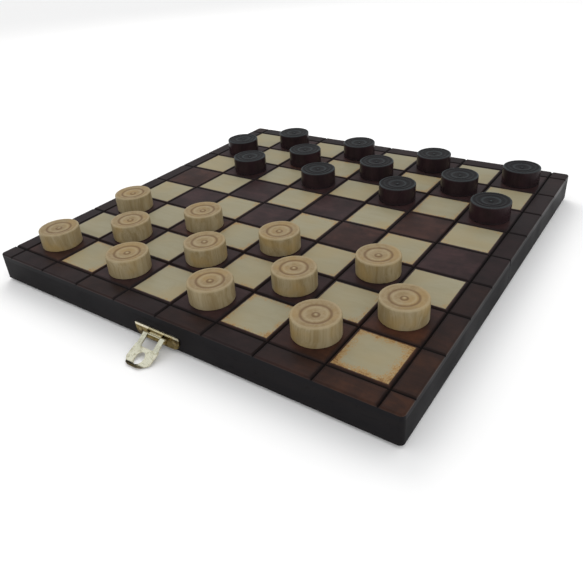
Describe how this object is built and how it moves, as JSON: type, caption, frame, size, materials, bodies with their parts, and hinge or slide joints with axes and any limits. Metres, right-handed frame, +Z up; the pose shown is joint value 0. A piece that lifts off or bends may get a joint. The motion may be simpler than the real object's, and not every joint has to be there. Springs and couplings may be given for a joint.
{
  "type": "folding checkers set",
  "caption": "Folding wooden draughts board of two hinged half boxes with a brass hasp latch, a chequered playing surface with burnt grid lines, and light and dark turned men set out for play.",
  "frame": {"origin": "middle of the footprint at the level that the set lies on, under the hinge knuckles", "axes": "+X along the fold to the light player's right, +Y from the light player's latched edge to the dark player's edge, +Z up"},
  "size_m": [0.288, 0.3152, 0.0322],
  "materials": {
    "playing_surface": "satin lacquer over stain",
    "stained_wood": "satin lacquer over black-brown stain",
    "brass": "plated, slightly tarnished",
    "hasp_metal": "bright plated sheet",
    "nail_steel": "brass washed wire",
    "light_beech": "clear satin lacquer",
    "dark_beech": "black-brown stain, satin lacquer"
  },
  "bodies": {
    "front_half": {"front_playing_panel": "playing_surface", "front_outer_rail": "stained_wood", "front_centre_rail": "stained_wood", "front_left_rail": "stained_wood", "front_right_rail": "stained_wood", "latch_plate": "brass", "latch_plate_nails": "nail_steel", "latch_pin": "nail_steel", "left_hinge_front_leaf": "brass", "right_hinge_front_leaf": "brass", "left_hinge_pin": "nail_steel", "right_hinge_pin": "nail_steel", "front_hinge_nails": "nail_steel"},
    "rear_half": {"rear_playing_panel": "playing_surface", "rear_outer_rail": "stained_wood", "rear_centre_rail": "stained_wood", "rear_left_rail": "stained_wood", "rear_right_rail": "stained_wood", "catch_plate": "brass", "catch_plate_nails": "nail_steel", "left_hinge_rear_leaf": "brass", "right_hinge_rear_leaf": "brass", "rear_hinge_nails": "nail_steel"},
    "hasp": {"latch_hasp": "hasp_metal"},
    "light_checker_01": {"light_checker_01": "light_beech"},
    "light_checker_02": {"light_checker_02": "light_beech"},
    "light_checker_03": {"light_checker_03": "light_beech"},
    "light_checker_04": {"light_checker_04": "light_beech"},
    "light_checker_05": {"light_checker_05": "light_beech"},
    "light_checker_06": {"light_checker_06": "light_beech"},
    "light_checker_07": {"light_checker_07": "light_beech"},
    "light_checker_08": {"light_checker_08": "light_beech"},
    "light_checker_09": {"light_checker_09": "light_beech"},
    "light_checker_10": {"light_checker_10": "light_beech"},
    "light_checker_11": {"light_checker_11": "light_beech"},
    "light_checker_12": {"light_checker_12": "light_beech"},
    "dark_checker_01": {"dark_checker_01": "dark_beech"},
    "dark_checker_02": {"dark_checker_02": "dark_beech"},
    "dark_checker_03": {"dark_checker_03": "dark_beech"},
    "dark_checker_04": {"dark_checker_04": "dark_beech"},
    "dark_checker_05": {"dark_checker_05": "dark_beech"},
    "dark_checker_06": {"dark_checker_06": "dark_beech"},
    "dark_checker_07": {"dark_checker_07": "dark_beech"},
    "dark_checker_08": {"dark_checker_08": "dark_beech"},
    "dark_checker_09": {"dark_checker_09": "dark_beech"},
    "dark_checker_10": {"dark_checker_10": "dark_beech"},
    "dark_checker_11": {"dark_checker_11": "dark_beech"},
    "dark_checker_12": {"dark_checker_12": "dark_beech"}
  },
  "joints": [
    {"name": "fold", "type": "hinge", "parent": "front_half", "child": "rear_half", "pos_m": [0, 0.00813, 0.002], "axis": [-1, 0, 0], "range_deg": [0, 180]},
    {"name": "hasp_swing", "type": "hinge", "parent": "front_half", "child": "hasp", "pos_m": [0, -0.13872, 0.0071], "axis": [-1, 0, 0], "range_deg": [-58.09, 101.91]},
    {"name": "light_checker_01_lift", "type": "slide", "parent": "front_half", "child": "light_checker_01", "axis": [0, 0, 1], "range_m": [0, 0.05]},
    {"name": "light_checker_02_lift", "type": "slide", "parent": "front_half", "child": "light_checker_02", "axis": [0, 0, 1], "range_m": [0, 0.05]},
    {"name": "light_checker_03_lift", "type": "slide", "parent": "front_half", "child": "light_checker_03", "axis": [0, 0, 1], "range_m": [0, 0.05]},
    {"name": "light_checker_04_lift", "type": "slide", "parent": "front_half", "child": "light_checker_04", "axis": [0, 0, 1], "range_m": [0, 0.05]},
    {"name": "light_checker_05_lift", "type": "slide", "parent": "front_half", "child": "light_checker_05", "axis": [0, 0, 1], "range_m": [0, 0.05]},
    {"name": "light_checker_06_lift", "type": "slide", "parent": "front_half", "child": "light_checker_06", "axis": [0, 0, 1], "range_m": [0, 0.05]},
    {"name": "light_checker_07_lift", "type": "slide", "parent": "front_half", "child": "light_checker_07", "axis": [0, 0, 1], "range_m": [0, 0.05]},
    {"name": "light_checker_08_lift", "type": "slide", "parent": "front_half", "child": "light_checker_08", "axis": [0, 0, 1], "range_m": [0, 0.05]},
    {"name": "light_checker_09_lift", "type": "slide", "parent": "front_half", "child": "light_checker_09", "axis": [0, 0, 1], "range_m": [0, 0.05]},
    {"name": "light_checker_10_lift", "type": "slide", "parent": "front_half", "child": "light_checker_10", "axis": [0, 0, 1], "range_m": [0, 0.05]},
    {"name": "light_checker_11_lift", "type": "slide", "parent": "front_half", "child": "light_checker_11", "axis": [0, 0, 1], "range_m": [0, 0.05]},
    {"name": "light_checker_12_lift", "type": "slide", "parent": "front_half", "child": "light_checker_12", "axis": [0, 0, 1], "range_m": [0, 0.05]},
    {"name": "dark_checker_01_lift", "type": "slide", "parent": "rear_half", "child": "dark_checker_01", "axis": [0, 0, 1], "range_m": [0, 0.05]},
    {"name": "dark_checker_02_lift", "type": "slide", "parent": "rear_half", "child": "dark_checker_02", "axis": [0, 0, 1], "range_m": [0, 0.05]},
    {"name": "dark_checker_03_lift", "type": "slide", "parent": "rear_half", "child": "dark_checker_03", "axis": [0, 0, 1], "range_m": [0, 0.05]},
    {"name": "dark_checker_04_lift", "type": "slide", "parent": "rear_half", "child": "dark_checker_04", "axis": [0, 0, 1], "range_m": [0, 0.05]},
    {"name": "dark_checker_05_lift", "type": "slide", "parent": "rear_half", "child": "dark_checker_05", "axis": [0, 0, 1], "range_m": [0, 0.05]},
    {"name": "dark_checker_06_lift", "type": "slide", "parent": "rear_half", "child": "dark_checker_06", "axis": [0, 0, 1], "range_m": [0, 0.05]},
    {"name": "dark_checker_07_lift", "type": "slide", "parent": "rear_half", "child": "dark_checker_07", "axis": [0, 0, 1], "range_m": [0, 0.05]},
    {"name": "dark_checker_08_lift", "type": "slide", "parent": "rear_half", "child": "dark_checker_08", "axis": [0, 0, 1], "range_m": [0, 0.05]},
    {"name": "dark_checker_09_lift", "type": "slide", "parent": "rear_half", "child": "dark_checker_09", "axis": [0, 0, 1], "range_m": [0, 0.05]},
    {"name": "dark_checker_10_lift", "type": "slide", "parent": "rear_half", "child": "dark_checker_10", "axis": [0, 0, 1], "range_m": [0, 0.05]},
    {"name": "dark_checker_11_lift", "type": "slide", "parent": "rear_half", "child": "dark_checker_11", "axis": [0, 0, 1], "range_m": [0, 0.05]},
    {"name": "dark_checker_12_lift", "type": "slide", "parent": "rear_half", "child": "dark_checker_12", "axis": [0, 0, 1], "range_m": [0, 0.05]}
  ]
}
